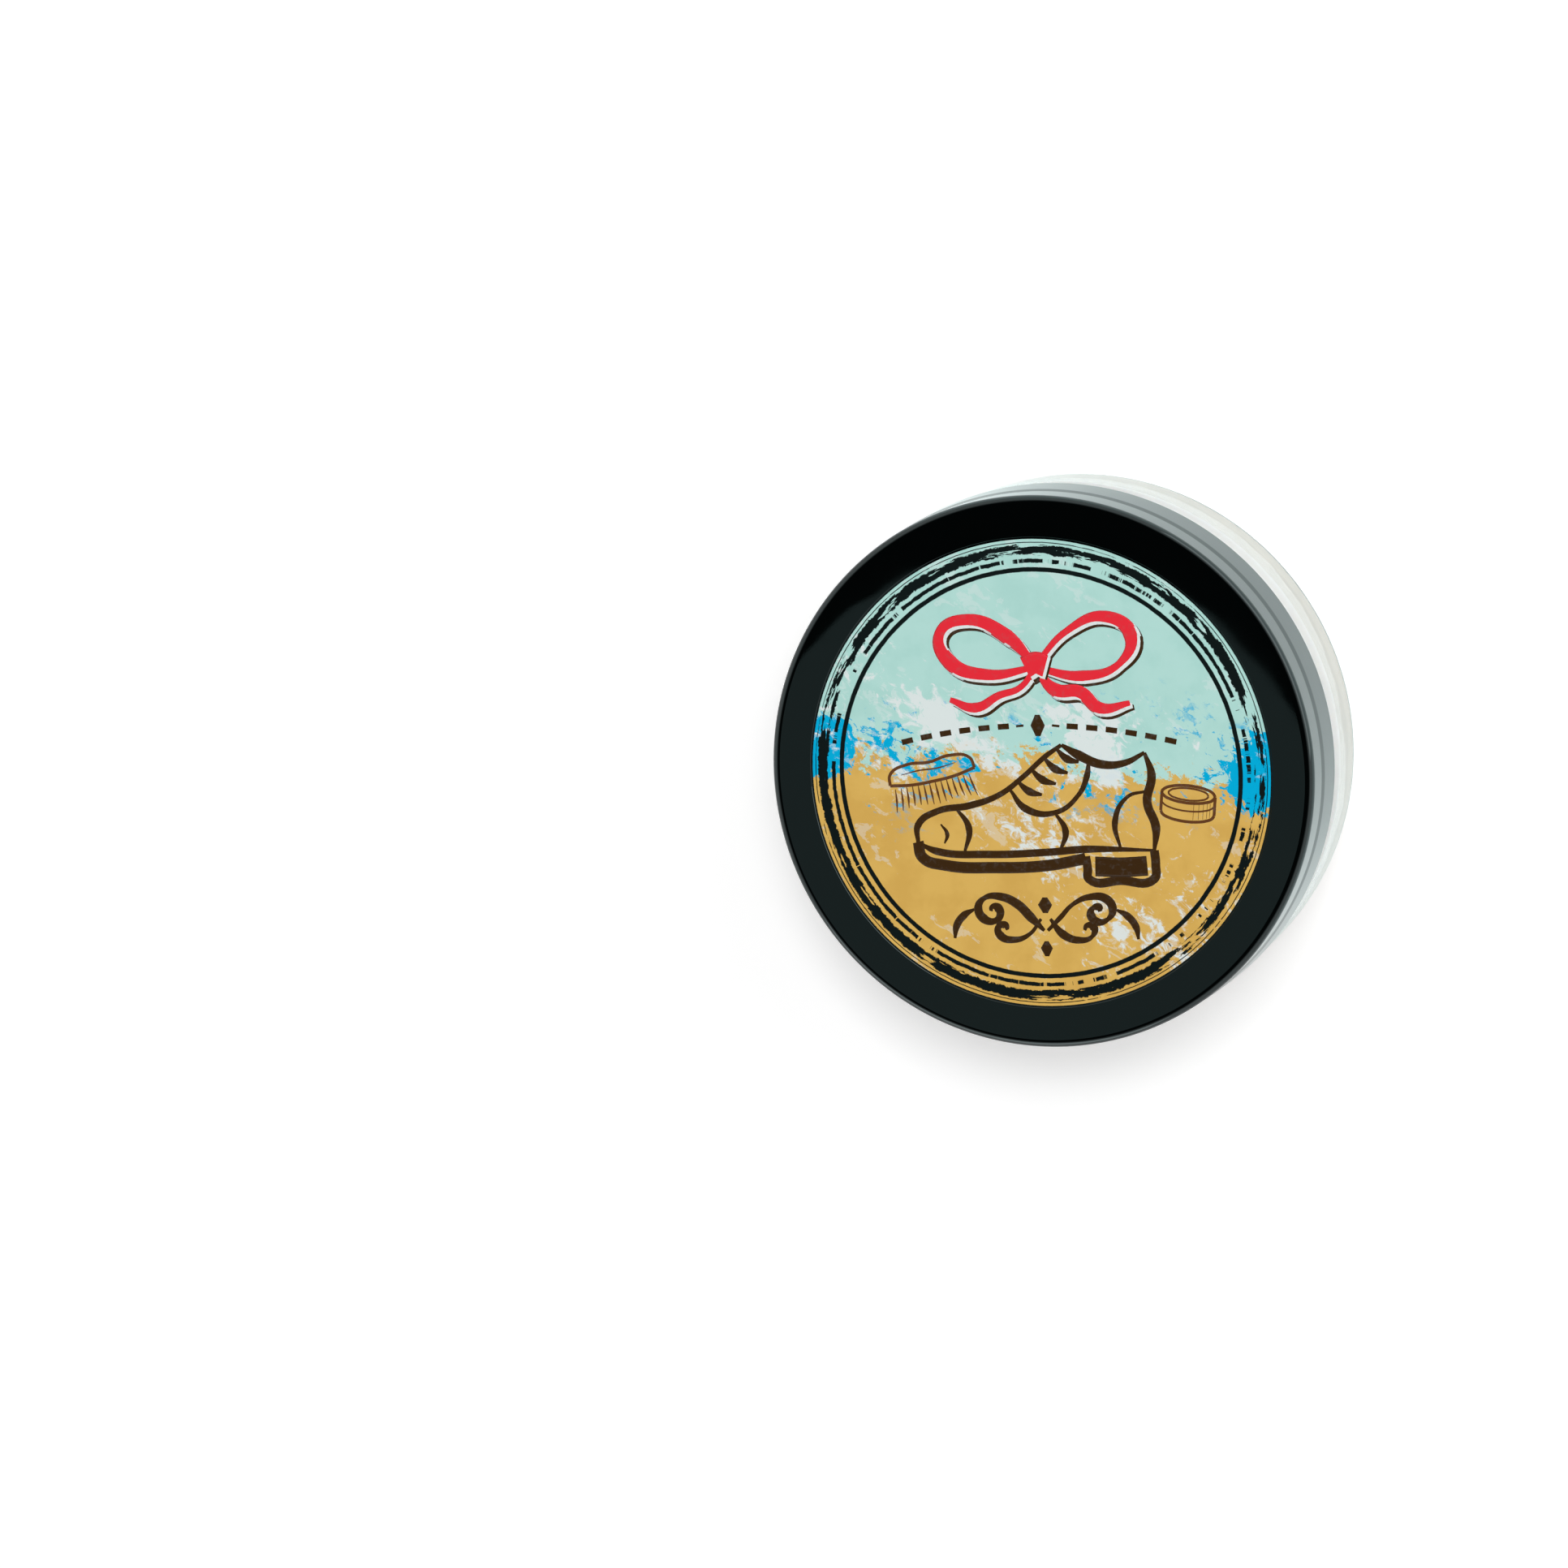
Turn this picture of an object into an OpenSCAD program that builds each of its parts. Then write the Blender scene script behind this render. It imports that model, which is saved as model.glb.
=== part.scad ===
// Low round screw jar of polish: a clear jar holding set wax, and a black lid with a foam liner and a round label.
// Millimetres, +Z up. The origin is the centre of the foot and the lid is screwed down.

/* [Jar] */
// Outside diameter of the body
body_d = 72; // [64:1:90]
// Height from the foot to the rim
jar_h = 26.5; // [24:0.5:60]
// Height of the neck above the shoulder
neck_h = 10.5; // [10:0.5:14]
// How far the shoulder steps in from the body to the neck
shoulder_w = 2.5; // [1.5:0.25:4]
// Radius of the rounded shoulder
shoulder_r = 4.5; // [4:0.25:6]
// Thickness of the wall and of the base
jar_wall = 1.5; // [1:0.1:2]
// Radius of the rounded corner at the base
base_r = 4; // [3:0.5:6]
// Width of the flat ring that the jar stands on
foot_w = 4; // [2:0.5:8]
// Height of the hollow under the base
hollow_h = 0.8; // [0.4:0.1:1.2]
// Radius of the rounded edges of the rim
rim_r = 0.4; // [0.2:0.05:0.5]

/* [Thread] */
// Rise of the thread in one turn
lead = 4.2; // [3.8:0.1:4.6]
// Turns of the ridge on the neck
neck_turns = 1.1; // [0.9:0.05:1.2]
// Turns of the ridge in the lid
lid_turns = 1; // [0.8:0.05:1.1]
// Height of both ridges above their walls
ridge_h = 1.2; // [0.8:0.1:1.5]
// Width of the neck's ridge where it meets the wall
neck_ridge_w = 2.2; // [1.4:0.1:2.4]
// Width of the lid's ridge where it meets the wall
lid_ridge_w = 2; // [1.4:0.1:2.2]
// Clearance between each crest and the wall it faces
crest_play = 0.35; // [0.25:0.05:0.6]
// Clearance between the flanks that bear on each other
flank_play = 0.05; // [0.05:0.05:0.4]
// Drop from the rim to the upper end of the neck's ridge
thread_drop = 2; // [1.8:0.1:2.6]
// Direction of the lower end of both ridges
thread_start = 250; // [0:5:355]
// Length over which each end of a ridge fades away, in degrees
fade_angle = 24; // [12:2:40]

/* [Lid] */
// Thickness of the skirt below its step
lid_wall = 1.3; // [1:0.1:2.5]
// Thickness of the top
lid_top = 1.4; // [1:0.1:2.5]
// Radius of the rounded edge round the top
lid_corner_r = 1; // [0.75:0.25:2.5]
// Drop from the lid's face to the shallow step round the skirt
step_drop = 5.5; // [3.2:0.1:8]
// How far the skirt draws in above the step
step_depth = 0.15; // [0.05:0.05:0.3]
// Growth of the skirt's radius from the step down to its lower edge
lid_draft = 0.1; // [0:0.05:0.4]
// Gap between the skirt and the level of the shoulder
lid_gap = 1; // [0.4:0.1:1.2]
// Bevel on the skirt's lower edges
lid_bevel = 0.3; // [0.1:0.05:0.5]

/* [Label] */
// Diameter of the label
label_d = 61.2; // [40:0.1:64]
// Thickness of the label
label_t = 0.12; // [0.08:0.02:0.2]
// Depth of the recess below the lid's face
recess_h = 0.15; // [0.1:0.05:0.4]
// Clearance between the label's edge and the recess
label_play = 0.25; // [0.1:0.05:0.5]

/* [Liner] */
// Thickness of the foam liner
liner_t = 1; // [0.5:0.1:2]
// Clearance between the liner and the skirt
liner_play = 0.25; // [0.1:0.05:0.5]

/* [Wax] */
// Depth from the rim to the top of the wax
headspace = 9.5; // [4:0.5:16]
// Clearance between the wax and the curved walls
wax_play = 0.05; // [0.02:0.01:0.15]

/* [Hidden] */
body_rad = body_d / 2;
neck_rad = body_rad - shoulder_w;
neck_base_z = jar_h - neck_h;
// The shoulder's arc turns into the body's side at this height and would end flat at body_top_z.
shoulder_z = neck_base_z - sqrt(2 * shoulder_w * shoulder_r - shoulder_w * shoulder_w);
body_top_z = shoulder_z + shoulder_r;
hollow_rad = body_rad - base_r - foot_w;
hollow_slope = 1;

skirt_in_rad = neck_rad + ridge_h + crest_play;
lid_rad = skirt_in_rad + lid_wall;
lid_under_z = jar_h + liner_t;
lid_top_z = lid_under_z + lid_top;
lid_low_z = neck_base_z + lid_gap;
label_z = lid_top_z - recess_h;
recess_rad = label_d / 2 + label_play;
liner_rad = skirt_in_rad - liner_play;
wax_top_z = jar_h - headspace;

// The exponent of the ridges' rounded section, and how many strips it has.
ridge_form = 2.6;
ridge_strips = 6;
// How deep a ridge is rooted in its wall, the least share of its height, and the angle of one segment.
ridge_root = 0.4;
fade_floor = 0.15;
ridge_step = 5;
neck_ridge_z = jar_h - thread_drop - neck_turns * lead;
// At half height the ridges have this share of their width, so the lid's ridge bears from below.
half_height_share = pow(0.5, 1 / ridge_form);
ridge_offset = half_height_share * (neck_ridge_w + lid_ridge_w) / 2 + flank_play;
lid_ridge_z = neck_ridge_z - ridge_offset;

$fn = 120;
past = 1;

// One section of a ridge: [height above the wall, offset along the axis] from one foot to the other.
function ridge_section(width) = [
    for (i = [0 : ridge_strips])
        let (u = 2 * i / ridge_strips - 1)
        [abs(u) == 1 ? -ridge_root : ridge_h * (1 - pow(abs(u), ridge_form)), u * width / 2]
];

// Share of the full height at an angle along a ridge, which fades at both ends.
function ridge_share(angle, sweep) =
    max(fade_floor, sin(90 * min(1, angle / fade_angle, (sweep - angle) / fade_angle)));

// A right-hand helical ridge on a round wall. Side is 1 on the outside of the wall and -1 on its inside.
module helical_ridge(wall_rad, side, width, low_z, turns) {
    sweep = 360 * turns;
    steps = ceil(sweep / ridge_step);
    section = ridge_section(width);
    count = len(section);
    points = [
        for (k = [0 : steps], p = section)
            let (
                angle = sweep * k / steps,
                height = (p[0] + ridge_root) * ridge_share(angle, sweep) - ridge_root,
                rad = wall_rad + side * height,
                turned = thread_start + angle
            )
            [rad * cos(turned), rad * sin(turned), low_z + lead * angle / 360 + side * p[1]]
    ];
    sides = [
        for (k = [0 : steps - 1], j = [0 : count - 1])
            let (a = k * count + j, b = k * count + (j + 1) % count)
            each [[a, b, b + count], [a, b + count, a + count]]
    ];
    low_end = [for (j = [count - 1 : -1 : 0]) j];
    high_end = [for (j = [0 : count - 1]) steps * count + j];
    polyhedron(points, concat([low_end], sides, [high_end]));
}

// Half outline of a round vessel with a rounded base corner and a rounded shoulder.
module vessel_outline(rad, low_z, high_z, corner_r, top_r) {
    translate([0, low_z]) square([rad - corner_r, corner_r]);
    translate([0, low_z + corner_r]) square([rad, high_z - low_z - corner_r - top_r]);
    translate([0, high_z - top_r]) square([rad - top_r, top_r]);
    translate([rad - corner_r, low_z + corner_r]) circle(corner_r);
    translate([rad - top_r, high_z - top_r]) circle(top_r);
}

// Half outline of the raised middle of the base, between its underside and the floor inside.
module raised_base_outline(low_z, growth) {
    polygon([
        [0, low_z - past],
        [hollow_rad + growth, low_z - past],
        [hollow_rad + growth, low_z],
        [hollow_rad + growth - hollow_slope, low_z + hollow_h],
        [0, low_z + hollow_h]
    ]);
}

// Half outline of everything inside the jar's walls. Play draws it in from the curved walls.
module inside_outline(play) {
    difference() {
        union() {
            vessel_outline(
                body_rad - jar_wall - play,
                jar_wall,
                body_top_z - jar_wall - play,
                base_r - jar_wall - play,
                shoulder_r - jar_wall - play
            );
            translate([0, body_top_z / 2])
                square([neck_rad - jar_wall - play, jar_h - body_top_z / 2 + past]);
        }
        raised_base_outline(jar_wall, play);
    }
}

// Half outline of the neck, with the outer edge of its rim rounded.
module neck_outline() {
    square([neck_rad, jar_h - rim_r]);
    square([neck_rad - rim_r, jar_h]);
    translate([neck_rad - rim_r, jar_h - rim_r]) circle(rim_r);
}

// What the rounding takes off the inner edge of the rim, as a half outline.
module rim_edge_outline() {
    bore_rad = neck_rad - jar_wall;
    difference() {
        translate([bore_rad - rim_r, jar_h - rim_r]) square([2 * rim_r, rim_r + past]);
        translate([bore_rad + rim_r, jar_h - rim_r]) circle(rim_r);
    }
}

module jar_body() {
    color([0.86, 0.9, 0.92, 0.4]) {
        rotate_extrude() difference() {
            union() {
                vessel_outline(body_rad, 0, body_top_z, base_r, shoulder_r);
                neck_outline();
            }
            inside_outline(0);
            raised_base_outline(0, 0);
            rim_edge_outline();
        }
        helical_ridge(neck_rad, 1, neck_ridge_w, neck_ridge_z, neck_turns);
    }
}

module wax_fill() {
    color([0.74, 0.68, 0.6])
        rotate_extrude() intersection() {
            inside_outline(wax_play);
            square([body_rad, wax_top_z]);
        }
}

module lid_liner() {
    color("whitesmoke") translate([0, 0, jar_h]) cylinder(h = liner_t, r = liner_rad);
}

// Half outline of the lid's outside, with a rounded upper edge, a shallow step and a drafted skirt.
module lid_outline() {
    corner_z = lid_top_z - lid_corner_r;
    low_rad = lid_rad + lid_draft;
    upper_rad = lid_rad - step_depth;
    polygon([
        [0, lid_low_z],
        [low_rad - lid_bevel, lid_low_z],
        [low_rad, lid_low_z + lid_bevel],
        [lid_rad, lid_top_z - step_drop],
        [upper_rad, lid_top_z - step_drop + step_depth],
        [upper_rad, corner_z],
        [upper_rad - lid_corner_r, lid_top_z],
        [0, lid_top_z]
    ]);
    translate([upper_rad - lid_corner_r, corner_z]) circle(lid_corner_r);
}

// Half outline of the space inside the skirt, with a bevelled way in.
module skirt_bore_outline() {
    polygon([
        [0, lid_low_z - past],
        [skirt_in_rad + lid_bevel + past, lid_low_z - past],
        [skirt_in_rad, lid_low_z + lid_bevel],
        [skirt_in_rad, lid_under_z],
        [0, lid_under_z]
    ]);
}

module lid_shell() {
    color([0.06, 0.06, 0.06]) {
        rotate_extrude() difference() {
            lid_outline();
            skirt_bore_outline();
            translate([0, label_z]) square([recess_rad, recess_h + past]);
        }
        helical_ridge(skirt_in_rad, -1, lid_ridge_w, lid_ridge_z, lid_turns);
    }
}

module lid_label() {
    color([0.67, 0.85, 0.81]) translate([0, 0, label_z]) cylinder(h = label_t, r = label_d / 2);
}

jar_body();
wax_fill();
lid_liner();
lid_shell();
lid_label();
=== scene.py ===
"""Looks of a low clear screw jar of shoe wax, with a glossy black lid and a round printed label."""

import math

import bpy
from mathutils import Matrix, Vector, noise


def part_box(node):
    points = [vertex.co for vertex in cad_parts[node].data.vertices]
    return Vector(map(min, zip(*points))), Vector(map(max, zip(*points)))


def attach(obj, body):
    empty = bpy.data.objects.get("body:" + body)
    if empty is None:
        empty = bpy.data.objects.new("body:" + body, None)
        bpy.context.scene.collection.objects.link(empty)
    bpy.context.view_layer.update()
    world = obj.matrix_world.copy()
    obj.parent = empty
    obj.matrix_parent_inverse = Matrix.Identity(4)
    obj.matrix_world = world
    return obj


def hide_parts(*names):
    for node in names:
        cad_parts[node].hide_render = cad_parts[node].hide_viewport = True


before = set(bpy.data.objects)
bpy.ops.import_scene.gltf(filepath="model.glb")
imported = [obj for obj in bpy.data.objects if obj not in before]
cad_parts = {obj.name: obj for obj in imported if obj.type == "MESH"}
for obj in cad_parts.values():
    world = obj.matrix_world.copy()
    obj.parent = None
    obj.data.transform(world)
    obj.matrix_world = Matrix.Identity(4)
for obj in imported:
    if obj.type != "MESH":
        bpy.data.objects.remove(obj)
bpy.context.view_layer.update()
MM = 0.001

# Sizes of the jar, from the frame where it has them.
BODY_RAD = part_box("jar_body")[1].x
JAR_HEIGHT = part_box("jar_body")[1].z
NECK_RAD = BODY_RAD - 2.5 * MM
NECK_BASE = JAR_HEIGHT - 10.5 * MM
JAR_WALL = 1.5 * MM
BASE_CORNER = 4 * MM
SHOULDER_CORNER = 4.5 * MM
SHOULDER_STEP = BODY_RAD - NECK_RAD
SHOULDER_Z = NECK_BASE - math.sqrt(2 * SHOULDER_STEP * SHOULDER_CORNER - SHOULDER_STEP**2)
FOOT_RING = 4 * MM
HOLLOW_RAD = BODY_RAD - BASE_CORNER - FOOT_RING
HOLLOW_HEIGHT = 0.8 * MM
HOLLOW_SLOPE = 1 * MM
RIM_EDGE = 0.4 * MM
WAX_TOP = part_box("wax_fill")[1].z

# The side, seen from above, that faces the key light. Here the wax clings to the wall higher up, and
# its shoulder carries a painted highlight.
LIT_SIDE = (0.75, 0.66)

# How the wax lies at the wall, in millimetres: the mean level above which a film of air lies
# between them, the film's gap, and how far the wax reaches into the wall where it clings. The
# pairs are heights above the foot, between which each thing eases in or out.
FILM_LEVEL = 7.2
FILM_GAP = 0.14
CLING = 0.03
WET_FROM, WET_UP_TO = (10.0, 10.3), (12.9, 12.6)
CRUMPLED_FROM, CRUMPLED_UP_TO = (10.4, 12.2), (17.2, 15.6)
CALM_UP_TO = (14.0, 13.0)
FOLD_DEPTH = 0.85

# The wax's stirred top: turn of the spiral in radians, and heights in millimetres.
STIR_TURN = 5.5
STIR_HEIGHT = 0.07
STIR_SAG = 0.35

# Sizes of the lid and of what it carries.
LID_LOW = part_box("lid_shell")[0].z
LID_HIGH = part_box("lid_shell")[1].z
LID_FOOT_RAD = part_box("lid_shell")[1].x
LID_RAD = LID_FOOT_RAD - 0.1 * MM
LID_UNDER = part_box("lid_liner")[1].z
LID_CORNER = 1 * MM
LID_BEVEL = 0.3 * MM
SKIRT_STEP_Z = LID_HIGH - 5.5 * MM
SKIRT_STEP = 0.15 * MM
SKIRT_RAD = LID_RAD - 1.3 * MM
FOAM_THICK = 1 * MM
LINER_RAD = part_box("lid_liner")[1].x
LABEL_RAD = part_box("lid_label")[1].x
LABEL_FLOOR, LABEL_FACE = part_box("lid_label")[0].z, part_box("lid_label")[1].z
RECESS_RAD = LABEL_RAD + 0.25 * MM

# The thread, as on the frame's neck and lid. A ridge fades into its wall at both ends.
LEAD = 4.2 * MM
RIDGE_HEIGHT = 1.2 * MM
RIDGE_ROOT = 0.4 * MM
RIDGE_ROUNDING = 2.6
RIDGE_FADE = math.radians(24)
FADED_SHARE = 0.15
NECK_TURNS = 1.1
NECK_RIDGE_TOP = JAR_HEIGHT - 2 * MM
NECK_RIDGE_LOW = NECK_RIDGE_TOP - NECK_TURNS * LEAD
RIDGE_DROP = 1.66 * MM
NECK_RIDGE = {"width": 2.2 * MM, "low": NECK_RIDGE_LOW, "turns": NECK_TURNS}
LID_RIDGE = {"width": 2.0 * MM, "low": NECK_RIDGE_LOW - RIDGE_DROP, "turns": 1.0}
THREAD_START = math.radians(250)

# How finely things are turned: sides of a full turn, and the least gap between outline points.
ROUND_SIDES = 240
LINER_SIDES = 160
WAX_SIDES = 360
WAX_RINGS = 46
WAX_SIDE_STEP = 0.32 * MM
POINT_GAP = 0.02 * MM


# ---------------------------------------------------------------- modelling


def deselect():
    bpy.ops.object.select_all(action="DESELECT")


def only(piece):
    """Selects one piece and makes it the active one."""
    deselect()
    piece.select_set(True)
    bpy.context.view_layer.objects.active = piece


def arc(centre, rad, start, end, steps):
    """Points along an arc of a half outline, with angles in degrees from the outward direction."""
    turns = [math.radians(start + (end - start) * i / steps) for i in range(steps + 1)]
    return [(centre[0] + rad * math.cos(t), centre[1] + rad * math.sin(t)) for t in turns]


def turned(name, outline, sides=ROUND_SIDES):
    """Turns a half outline, which runs from axis to axis, by extruding ring after ring."""
    deselect()
    rad, height = outline[1]
    bpy.ops.mesh.primitive_circle_add(
        vertices=sides, radius=rad, fill_type="TRIFAN", location=(0, 0, height)
    )
    piece = bpy.context.object
    piece.name = name
    bpy.ops.object.transform_apply(location=True)
    bpy.ops.object.mode_set(mode="EDIT")
    bpy.ops.mesh.select_mode(type="EDGE")
    bpy.ops.mesh.select_all(action="SELECT")
    bpy.ops.mesh.region_to_loop()
    for next_rad, next_height in outline[2:-1]:
        bpy.ops.mesh.extrude_edges_move(
            TRANSFORM_OT_translate={"value": (0, 0, next_height - height)}
        )
        grow = next_rad / rad
        bpy.ops.transform.resize(value=(grow, grow, 1), center_override=(0, 0, next_height))
        rad, height = next_rad, next_height
    last_rise = outline[-1][1] - height
    bpy.ops.mesh.extrude_edges_move(TRANSFORM_OT_translate={"value": (0, 0, last_rise)})
    bpy.ops.mesh.merge(type="CENTER")
    bpy.ops.mesh.select_all(action="SELECT")
    bpy.ops.mesh.normals_make_consistent(inside=False)
    bpy.ops.object.mode_set(mode="OBJECT")
    return piece


def held(outline, reach=0.13 * MM):
    """Adds a point near both ends of each long straight run, so that its faces shade flat."""
    points = [outline[0]]
    for start, end in zip(outline, outline[1:]):
        length = math.hypot(end[0] - start[0], end[1] - start[1])
        shares = (reach / length, 1 - reach / length) if length > 3 * reach else ()
        points += [tuple(a + (b - a) * share for a, b in zip(start, end)) for share in shares]
        points.append(end)
    return points


def smooth(piece, angle):
    """Shades a piece smooth, except at edges sharper than an angle in degrees."""
    only(piece)
    bpy.ops.object.shade_smooth_by_angle(angle=math.radians(angle))


def ridge_section(width, sides=14):
    """Height above the wall and place across the ridge, from one foot to the other."""
    places = [2 * i / sides - 1 for i in range(sides + 1)]
    crown = [
        (RIDGE_HEIGHT * (1 - abs(place) ** RIDGE_ROUNDING), place * width / 2)
        for place in places[1:-1]
    ]
    return [(-RIDGE_ROOT, -width / 2)] + crown + [(-RIDGE_ROOT, width / 2)]


def fade_ends(ridge, count, wall_rad, side, turns):
    """Lowers a swept ridge into its wall at both ends. Each step of the sweep has count points."""
    last_step = len(ridge.data.vertices) // count - 1
    for vertex in ridge.data.vertices:
        swept = vertex.index // count / last_step * 2 * math.pi * turns
        left = 2 * math.pi * turns - swept
        share = math.sin(math.pi / 2 * min(1, swept / RIDGE_FADE, left / RIDGE_FADE))
        rad = math.hypot(vertex.co.x, vertex.co.y)
        height = side * (rad - wall_rad)
        faded = (height + RIDGE_ROOT) * max(FADED_SHARE, share) - RIDGE_ROOT
        grow = (wall_rad + side * faded) / rad
        vertex.co.x *= grow
        vertex.co.y *= grow


def cap_ends(ridge):
    """Closes the two open ends of a swept ridge."""
    only(ridge)
    bpy.ops.object.mode_set(mode="EDIT")
    bpy.ops.mesh.select_mode(type="EDGE")
    bpy.ops.mesh.select_all(action="DESELECT")
    bpy.ops.mesh.select_non_manifold()
    bpy.ops.mesh.fill_holes(sides=0)
    bpy.ops.mesh.select_all(action="SELECT")
    bpy.ops.mesh.normals_make_consistent(inside=False)
    bpy.ops.object.mode_set(mode="OBJECT")


def helical_ridge(name, wall_rad, side, width, low, turns, steps_per_turn=144):
    """A thread's ridge, swept by a Screw modifier. Side is 1 outside a wall and -1 inside it."""
    section = ridge_section(width)
    count = len(section)
    deselect()
    bpy.ops.mesh.primitive_circle_add(vertices=count, radius=MM, fill_type="NOTHING")
    ridge = bpy.context.object
    ridge.name = name
    for vertex, (height, across) in zip(ridge.data.vertices, section):
        vertex.co = (wall_rad + side * height, 0, low + side * across)
    sweep = ridge.modifiers.new("sweep", "SCREW")
    sweep.angle = 2 * math.pi * turns
    sweep.screw_offset = LEAD * turns
    sweep.steps = sweep.render_steps = round(steps_per_turn * turns)
    sweep.use_merge_vertices = False
    bpy.ops.object.modifier_apply(modifier=sweep.name)
    fade_ends(ridge, count, wall_rad, side, turns)
    cap_ends(ridge)
    bpy.ops.transform.rotate(value=-THREAD_START, orient_axis="Z", center_override=(0, 0, 0))
    bpy.ops.object.transform_apply(rotation=True)
    return ridge


def unite(piece, tool):
    """Joins a tool's solid to a piece with an exact boolean, and deletes the tool."""
    only(piece)
    join = piece.modifiers.new("unite", "BOOLEAN")
    join.operation = "UNION"
    join.solver = "EXACT"
    join.object = tool
    bpy.ops.object.modifier_apply(modifier=join.name)
    bpy.data.objects.remove(tool)


def vessel_side(rad, low, high, base_corner, top_corner, steps):
    """Half outline of a vessel's side, from the foot's edge up round the shoulder."""
    foot = arc((rad - base_corner, low + base_corner), base_corner, -90, 0, steps)
    return foot + arc((rad - top_corner, high - top_corner), top_corner, 0, 90, steps)


def outside_of(points, rad_limit):
    """The part of a shoulder's outline that lies outside the neck."""
    return [point for point in points if point[0] > rad_limit + POINT_GAP]


def inside_side(steps):
    """Half outline of the jar's inner wall, from the floor's corner to the neck's foot."""
    neck_in = NECK_RAD - JAR_WALL
    base_corner = BASE_CORNER - JAR_WALL
    corner = SHOULDER_CORNER - JAR_WALL
    side_rad = BODY_RAD - JAR_WALL
    side = vessel_side(side_rad, JAR_WALL, SHOULDER_Z + corner, base_corner, corner, steps)
    reach = neck_in - (side_rad - corner)
    meet = SHOULDER_Z + math.sqrt(max(0, corner**2 - reach**2))
    return outside_of(side, neck_in) + [(neck_in, meet)]


def raised_floor(low):
    """Half outline of the raised middle of the base, from the axis outward."""
    high = low + HOLLOW_HEIGHT
    return [(0, high), (HOLLOW_RAD - HOLLOW_SLOPE, high), (HOLLOW_RAD, low)]


def make_jar():
    """The clear jar: a turned wall with a hollow base, shoulder, neck and rim, and its ridge."""
    outside = vessel_side(
        BODY_RAD, 0, SHOULDER_Z + SHOULDER_CORNER, BASE_CORNER, SHOULDER_CORNER, 16
    )
    bore = NECK_RAD - JAR_WALL
    rim = arc((NECK_RAD - RIM_EDGE, JAR_HEIGHT - RIM_EDGE), RIM_EDGE, 0, 90, 6)
    rim += arc((bore + RIM_EDGE, JAR_HEIGHT - RIM_EDGE), RIM_EDGE, 90, 180, 6)
    outline = (
        raised_floor(0)
        + outside_of(outside, NECK_RAD)
        + [(NECK_RAD, NECK_BASE)]
        + rim
        + inside_side(12)[::-1]
        + raised_floor(JAR_WALL)[::-1]
    )
    jar = turned("jar_clear", held(outline))
    ridge = helical_ridge("neck_ridge", NECK_RAD, 1, **NECK_RIDGE)
    unite(jar, ridge)
    smooth(jar, 35)
    return jar


def make_lid():
    """The lid's shell: a label recess, a round corner, a stepped skirt and the inner thread."""
    upper_rad = LID_RAD - SKIRT_STEP
    corner = (upper_rad - LID_CORNER, LID_HIGH - LID_CORNER)
    recess_edge = 0.06 * MM
    foot_edge = 0.08 * MM
    step_top, step_foot = SKIRT_STEP_Z + 0.6 * MM, SKIRT_STEP_Z - 0.5 * MM
    outline = (
        [(0, LABEL_FLOOR), (RECESS_RAD, LABEL_FLOOR), (RECESS_RAD, LID_HIGH - recess_edge)]
        + [(RECESS_RAD + recess_edge, LID_HIGH)]
        + arc(corner, LID_CORNER, 90, 0, 20)
        + [(upper_rad, step_top), (LID_RAD - 0.01 * MM, step_foot)]
        + [(LID_RAD, step_foot - 0.15 * MM), (LID_FOOT_RAD, LID_LOW + LID_BEVEL)]
        + [(LID_FOOT_RAD - foot_edge, LID_LOW + foot_edge), (LID_FOOT_RAD - LID_BEVEL, LID_LOW)]
        + [(SKIRT_RAD + LID_BEVEL, LID_LOW), (SKIRT_RAD, LID_LOW + LID_BEVEL)]
        + [(SKIRT_RAD, LID_UNDER), (0, LID_UNDER)]
    )
    lid = turned("lid_black", held(outline))
    ridge = helical_ridge("lid_ridge", SKIRT_RAD, -1, **LID_RIDGE)
    unite(lid, ridge)
    smooth(lid, 30)
    return lid


def make_liner():
    """A foam wad with the ring that the rim has pressed into its underside."""
    pressed, high = LID_UNDER - FOAM_THICK, LID_UNDER
    low = pressed - 0.09 * MM
    edge = 0.18 * MM
    mark_in, mark_out = NECK_RAD - JAR_WALL - 0.2 * MM, NECK_RAD + 0.1 * MM
    slope_in, slope_out = 0.5 * MM, 0.4 * MM
    outline = (
        [(0, low), (mark_in - slope_in, low), (mark_in, pressed)]
        + [(mark_out, pressed), (mark_out + slope_out, low)]
        + arc((LINER_RAD - edge, low + edge), edge, -90, 0, 4)
        + arc((LINER_RAD - edge, high - edge), edge, 0, 90, 4)
        + [(0, high)]
    )
    liner = turned("foam_liner", outline, LINER_SIDES)
    smooth(liner, 40)
    return liner


def eased(low, high, value):
    """0 below the low value, 1 above the high one, and a smooth rise between."""
    share = min(1, max(0, (value - low) / (high - low)))
    return share * share * (3 - 2 * share)


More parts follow.
